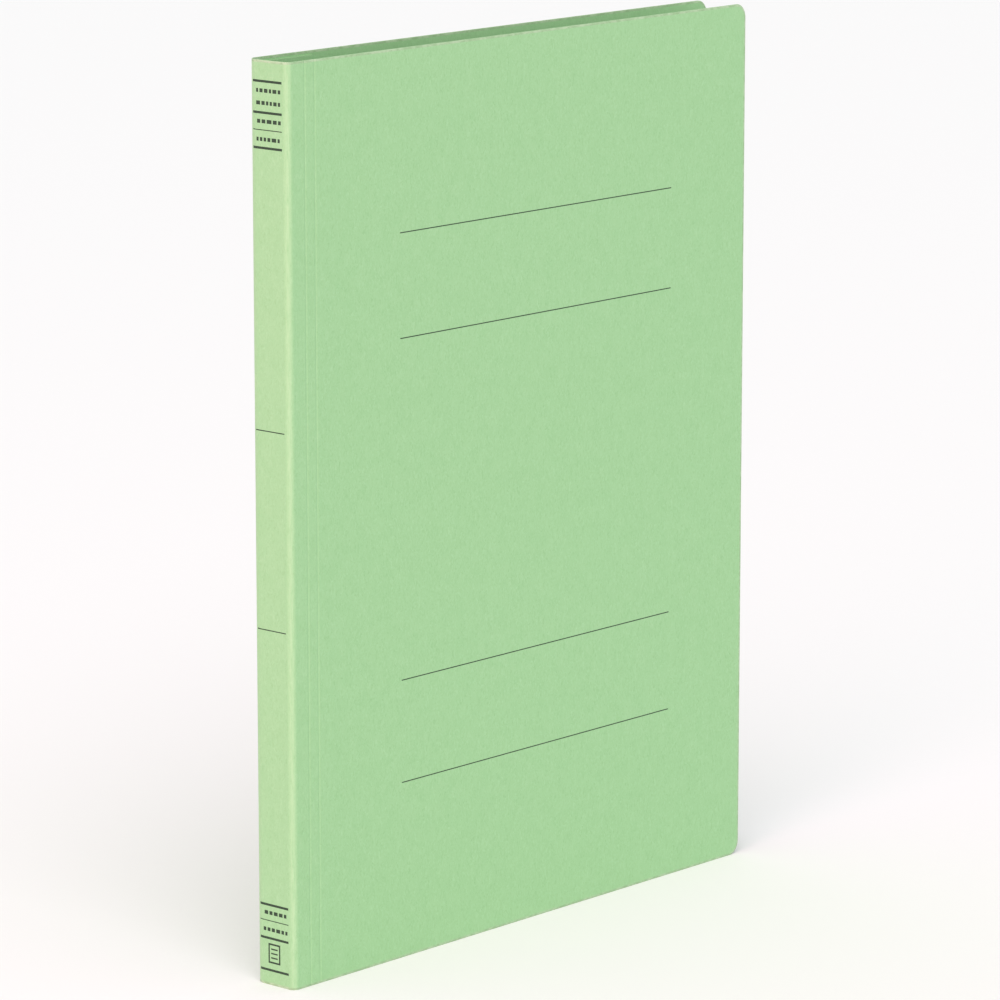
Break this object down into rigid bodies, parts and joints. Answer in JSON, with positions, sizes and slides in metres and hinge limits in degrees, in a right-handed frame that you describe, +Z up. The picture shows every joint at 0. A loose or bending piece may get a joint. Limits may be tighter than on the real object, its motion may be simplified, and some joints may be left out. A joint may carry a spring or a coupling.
{
  "type": "flat file",
  "caption": "Upright A4 paper flat file: a creased card cover with a square spine, a binding strip inside the back cover and a two-tongue plastic fastener with a press bar and sliding locks.",
  "frame": {"origin": "middle of the footprint that the closed file stands on", "axes": "+Z up the height of the file; X across the covers with the spine at -X; front cover faces -Y and back cover faces +Y"},
  "size_m": [0.231, 0.018, 0.307],
  "materials": {
    "cover_card": "matte coloured card",
    "strip_card": "matte coloured card",
    "fastener_plastic": "milky translucent moulded plastic"
  },
  "bodies": {
    "back": {"back_cover": "cover_card", "back_bend": "cover_card", "binding_strip": "strip_card", "fastener_base": "fastener_plastic"},
    "spine": {"spine": "cover_card", "front_bend": "cover_card"},
    "hinge_strip": {"hinge_strip": "cover_card", "inner_score": "cover_card"},
    "middle_strip": {"middle_strip": "cover_card", "outer_score": "cover_card"},
    "front": {"front_cover": "cover_card"},
    "upper_tongue": {"upper_tongue": "fastener_plastic"},
    "lower_tongue": {"lower_tongue": "fastener_plastic"},
    "press_bar": {"press_bar": "fastener_plastic"},
    "upper_lock": {"upper_lock": "fastener_plastic"},
    "lower_lock": {"lower_lock": "fastener_plastic"}
  },
  "joints": [
    {"name": "spine_fold", "type": "hinge", "parent": "back", "child": "spine", "pos_m": [-0.11446, 0.00796, 0], "axis": [0, 0, -1], "range_deg": [0, 90], "deforming": ["back_bend"]},
    {"name": "front_fold", "type": "hinge", "parent": "spine", "child": "hinge_strip", "pos_m": [-0.11483, -0.00833, 0], "axis": [0, 0, -1], "range_deg": [0, 90], "deforming": ["front_bend"]},
    {"name": "inner_score_fold", "type": "hinge", "parent": "hinge_strip", "child": "middle_strip", "pos_m": [-0.1075, -0.00894, 0], "axis": [0, 0, -1], "range_deg": [0, 90], "deforming": ["inner_score"]},
    {"name": "outer_score_fold", "type": "hinge", "parent": "middle_strip", "child": "front", "pos_m": [-0.1029, -0.00894, 0], "axis": [0, 0, -1], "range_deg": [0, 90], "deforming": ["outer_score"]},
    {"name": "upper_tongue_raise", "type": "hinge", "parent": "back", "child": "upper_tongue", "pos_m": [-0.0985, 0.0057, 0.1935], "axis": [-1, 0, 0], "range_deg": [0, 90]},
    {"name": "lower_tongue_raise", "type": "hinge", "parent": "back", "child": "lower_tongue", "pos_m": [-0.0985, 0.0057, 0.1135], "axis": [1, 0, 0], "range_deg": [0, 90]},
    {"name": "bar_lift", "type": "slide", "parent": "back", "child": "press_bar", "axis": [0, -1, 0], "range_m": [0, 0.0048]},
    {"name": "upper_lock_slide", "type": "slide", "parent": "press_bar", "child": "upper_lock", "axis": [0, 0, -1], "range_m": [0, 0.018]},
    {"name": "lower_lock_slide", "type": "slide", "parent": "press_bar", "child": "lower_lock", "axis": [0, 0, 1], "range_m": [0, 0.018]}
  ],
  "couplings": [
    {"joint": "upper_tongue_raise", "follows": "spine_fold", "ratio": 1},
    {"joint": "lower_tongue_raise", "follows": "spine_fold", "ratio": 1},
    {"joint": "bar_lift", "follows": "spine_fold", "m_per_rad": 0.003}
  ]
}
